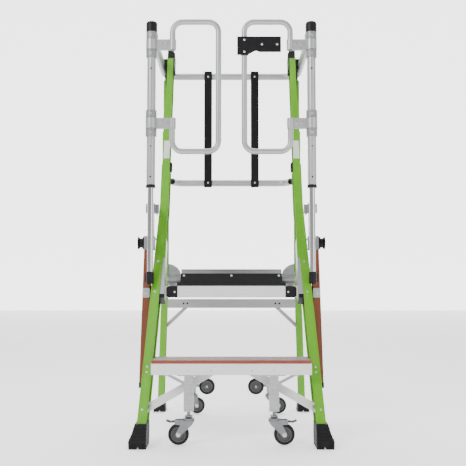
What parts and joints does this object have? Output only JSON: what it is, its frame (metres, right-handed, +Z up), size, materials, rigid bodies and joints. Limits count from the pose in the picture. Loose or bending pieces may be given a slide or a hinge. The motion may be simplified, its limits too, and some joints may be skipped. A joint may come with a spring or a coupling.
{
  "type": "rolling guard-rail work platform",
  "caption": "Rolling one-person work platform: telescoping leaning front frame and upright rear frame, step, tilting deck, guard rails with swing gates, casters and feet.",
  "frame": {"origin": "middle of the footprint on the floor", "axes": "+Z up, +X to the right of a person facing the step, +Y from the step towards the rear feet"},
  "size_m": [0.7384, 0.9176, 1.6404],
  "materials": {
    "green": "bright green pultruded fibreglass, satin",
    "orange": "orange-brown fibreglass, satin",
    "black_rubber": "matte ribbed rubber",
    "black_plastic": "matte moulded plastic",
    "black_metal": "powder coated",
    "white_metal": "pale satin aluminium",
    "light_alloy": "mill finish aluminium",
    "satin_tube": "satin anodised tube",
    "polished_tube": "polished tube",
    "steel": "rivet heads and pins",
    "zinc_steel": "zinc plated pressed steel",
    "wheel_grey": "dark grey wheel with solid tyre"
  },
  "bodies": {
    "upper_frame": {"inner_rails": "green", "rail_hangers": "light_alloy", "plastic_end_fittings": "black_plastic", "apex_caps": "black_plastic", "apex_arms": "black_metal", "rear_inner_rails": "green", "front_beam": "white_metal", "corner_brackets": "black_plastic", "kick_plate": "black_plastic", "rear_deck_brackets": "light_alloy", "guard_posts": "satin_tube", "post_caps": "black_plastic", "post_tubes": "polished_tube", "post_sockets": "black_plastic", "hinge_collars": "satin_tube", "top_guard_rail": "satin_tube", "rail_sockets": "black_plastic", "mid_guard_rail": "satin_tube", "guard_bars": "black_metal", "side_legs": "orange", "side_tube_clamps": "light_alloy", "side_tubes": "satin_tube", "leg_ties": "light_alloy", "frame_fasteners": "steel"},
    "front_base": {"outer_rails": "green", "front_feet": "black_rubber", "step": "white_metal", "step_tread": "orange", "step_braces": "white_metal", "caster_legs": "light_alloy", "base_fasteners": "steel"},
    "rear_base": {"rear_outer_rails": "green", "rear_feet": "black_rubber", "rear_cross_beam": "light_alloy", "caster_arms": "light_alloy"},
    "deck": {"deck_panel": "light_alloy", "deck_frame": "light_alloy", "hinge_castings": "light_alloy", "toe_board": "light_alloy"},
    "left_gate": {"left_gate_loop": "satin_tube", "left_gate_straps": "satin_tube"},
    "right_gate": {"right_gate_loop": "satin_tube", "right_gate_straps": "satin_tube", "latch_plate": "black_plastic"},
    "front_left_fork": {"front_left_fork": "zinc_steel"},
    "front_left_wheel": {"front_left_wheel": "wheel_grey"},
    "front_left_pedal": {"front_left_pedal": "black_plastic"},
    "rear_left_fork": {"rear_left_fork": "zinc_steel"},
    "rear_left_wheel": {"rear_left_wheel": "wheel_grey"},
    "transport_left_wheel": {"transport_left_wheel": "wheel_grey"},
    "left_leg_lock": {"left_leg_lock": "black_plastic"},
    "left_rail_lock": {"left_rail_lock": "black_plastic"},
    "front_right_fork": {"front_right_fork": "zinc_steel"},
    "front_right_wheel": {"front_right_wheel": "wheel_grey"},
    "front_right_pedal": {"front_right_pedal": "black_plastic"},
    "rear_right_fork": {"rear_right_fork": "zinc_steel"},
    "rear_right_wheel": {"rear_right_wheel": "wheel_grey"},
    "transport_right_wheel": {"transport_right_wheel": "wheel_grey"},
    "right_leg_lock": {"right_leg_lock": "black_plastic"},
    "right_rail_lock": {"right_rail_lock": "black_plastic"}
  },
  "joints": [
    {"name": "front_slide", "type": "slide", "parent": "front_base", "child": "upper_frame", "axis": [0, 0.3714, 0.9285], "range_m": [0, 0.305]},
    {"name": "rear_slide", "type": "slide", "parent": "upper_frame", "child": "rear_base", "axis": [0, 0, -1], "range_m": [0, 0.2835]},
    {"name": "deck_tilt", "type": "hinge", "parent": "upper_frame", "child": "deck", "pos_m": [0, -0.15175, 0.6], "axis": [1, 0, 0], "range_deg": [0, 60]},
    {"name": "left_gate_hinge", "type": "hinge", "parent": "upper_frame", "child": "left_gate", "pos_m": [-0.315, -0.22175, 1.36], "axis": [0, 0, 1], "range_deg": [0, 70], "stiffness_Nm_per_rad": 0.8, "springref_deg": -14.32},
    {"name": "right_gate_hinge", "type": "hinge", "parent": "upper_frame", "child": "right_gate", "pos_m": [0.315, -0.22175, 1.36], "axis": [0, 0, -1], "range_deg": [0, 70], "stiffness_Nm_per_rad": 0.8, "springref_deg": -14.32},
    {"name": "front_left_swivel", "type": "hinge", "parent": "front_base", "child": "front_left_fork", "pos_m": [-0.155, -0.37475, 0.11], "axis": [0, 0, 1], "continuous": true},
    {"name": "front_left_roll", "type": "hinge", "parent": "front_left_fork", "child": "front_left_wheel", "pos_m": [-0.1915, -0.37475, 0.0386], "axis": [0, 1, 0], "continuous": true},
    {"name": "front_left_brake", "type": "hinge", "parent": "front_left_fork", "child": "front_left_pedal", "pos_m": [-0.199, -0.37475, 0.083], "axis": [0, -1, 0], "range_deg": [0, 9]},
    {"name": "rear_left_swivel", "type": "hinge", "parent": "rear_base", "child": "rear_left_fork", "pos_m": [-0.174, 0.32825, 0.1], "axis": [0, 0, 1], "continuous": true},
    {"name": "rear_left_roll", "type": "hinge", "parent": "rear_left_fork", "child": "rear_left_wheel", "pos_m": [-0.156, 0.32825, 0.0366], "axis": [0, 1, 0], "continuous": true},
    {"name": "transport_left_roll", "type": "hinge", "parent": "rear_base", "child": "transport_left_wheel", "pos_m": [-0.1106, 0.32825, 0.121], "axis": [0, 1, 0], "continuous": true},
    {"name": "left_leg_lock_pull", "type": "slide", "parent": "upper_frame", "child": "left_leg_lock", "axis": [-1, 0, 0], "range_m": [0, 0.012], "stiffness_N_per_m": 400, "springref_m": -0.004},
    {"name": "left_rail_lock_press", "type": "slide", "parent": "front_base", "child": "left_rail_lock", "axis": [1, 0, 0], "range_m": [0, 0.006], "stiffness_N_per_m": 400, "springref_m": -0.003},
    {"name": "front_right_swivel", "type": "hinge", "parent": "front_base", "child": "front_right_fork", "pos_m": [0.155, -0.37475, 0.11], "axis": [0, 0, 1], "continuous": true},
    {"name": "front_right_roll", "type": "hinge", "parent": "front_right_fork", "child": "front_right_wheel", "pos_m": [0.1915, -0.37475, 0.0386], "axis": [0, 1, 0], "continuous": true},
    {"name": "front_right_brake", "type": "hinge", "parent": "front_right_fork", "child": "front_right_pedal", "pos_m": [0.199, -0.37475, 0.083], "axis": [0, 1, 0], "range_deg": [0, 9]},
    {"name": "rear_right_swivel", "type": "hinge", "parent": "rear_base", "child": "rear_right_fork", "pos_m": [0.174, 0.32825, 0.1], "axis": [0, 0, 1], "continuous": true},
    {"name": "rear_right_roll", "type": "hinge", "parent": "rear_right_fork", "child": "rear_right_wheel", "pos_m": [0.212, 0.32825, 0.0366], "axis": [0, 1, 0], "continuous": true},
    {"name": "transport_right_roll", "type": "hinge", "parent": "rear_base", "child": "transport_right_wheel", "pos_m": [0.1106, 0.32825, 0.121], "axis": [0, 1, 0], "continuous": true},
    {"name": "right_leg_lock_pull", "type": "slide", "parent": "upper_frame", "child": "right_leg_lock", "axis": [1, 0, 0], "range_m": [0, 0.012], "stiffness_N_per_m": 400, "springref_m": -0.004},
    {"name": "right_rail_lock_press", "type": "slide", "parent": "front_base", "child": "right_rail_lock", "axis": [-1, 0, 0], "range_m": [0, 0.006], "stiffness_N_per_m": 400, "springref_m": -0.003}
  ],
  "couplings": [
    {"joint": "rear_slide", "follows": "front_slide", "ratio": 0.92849}
  ]
}
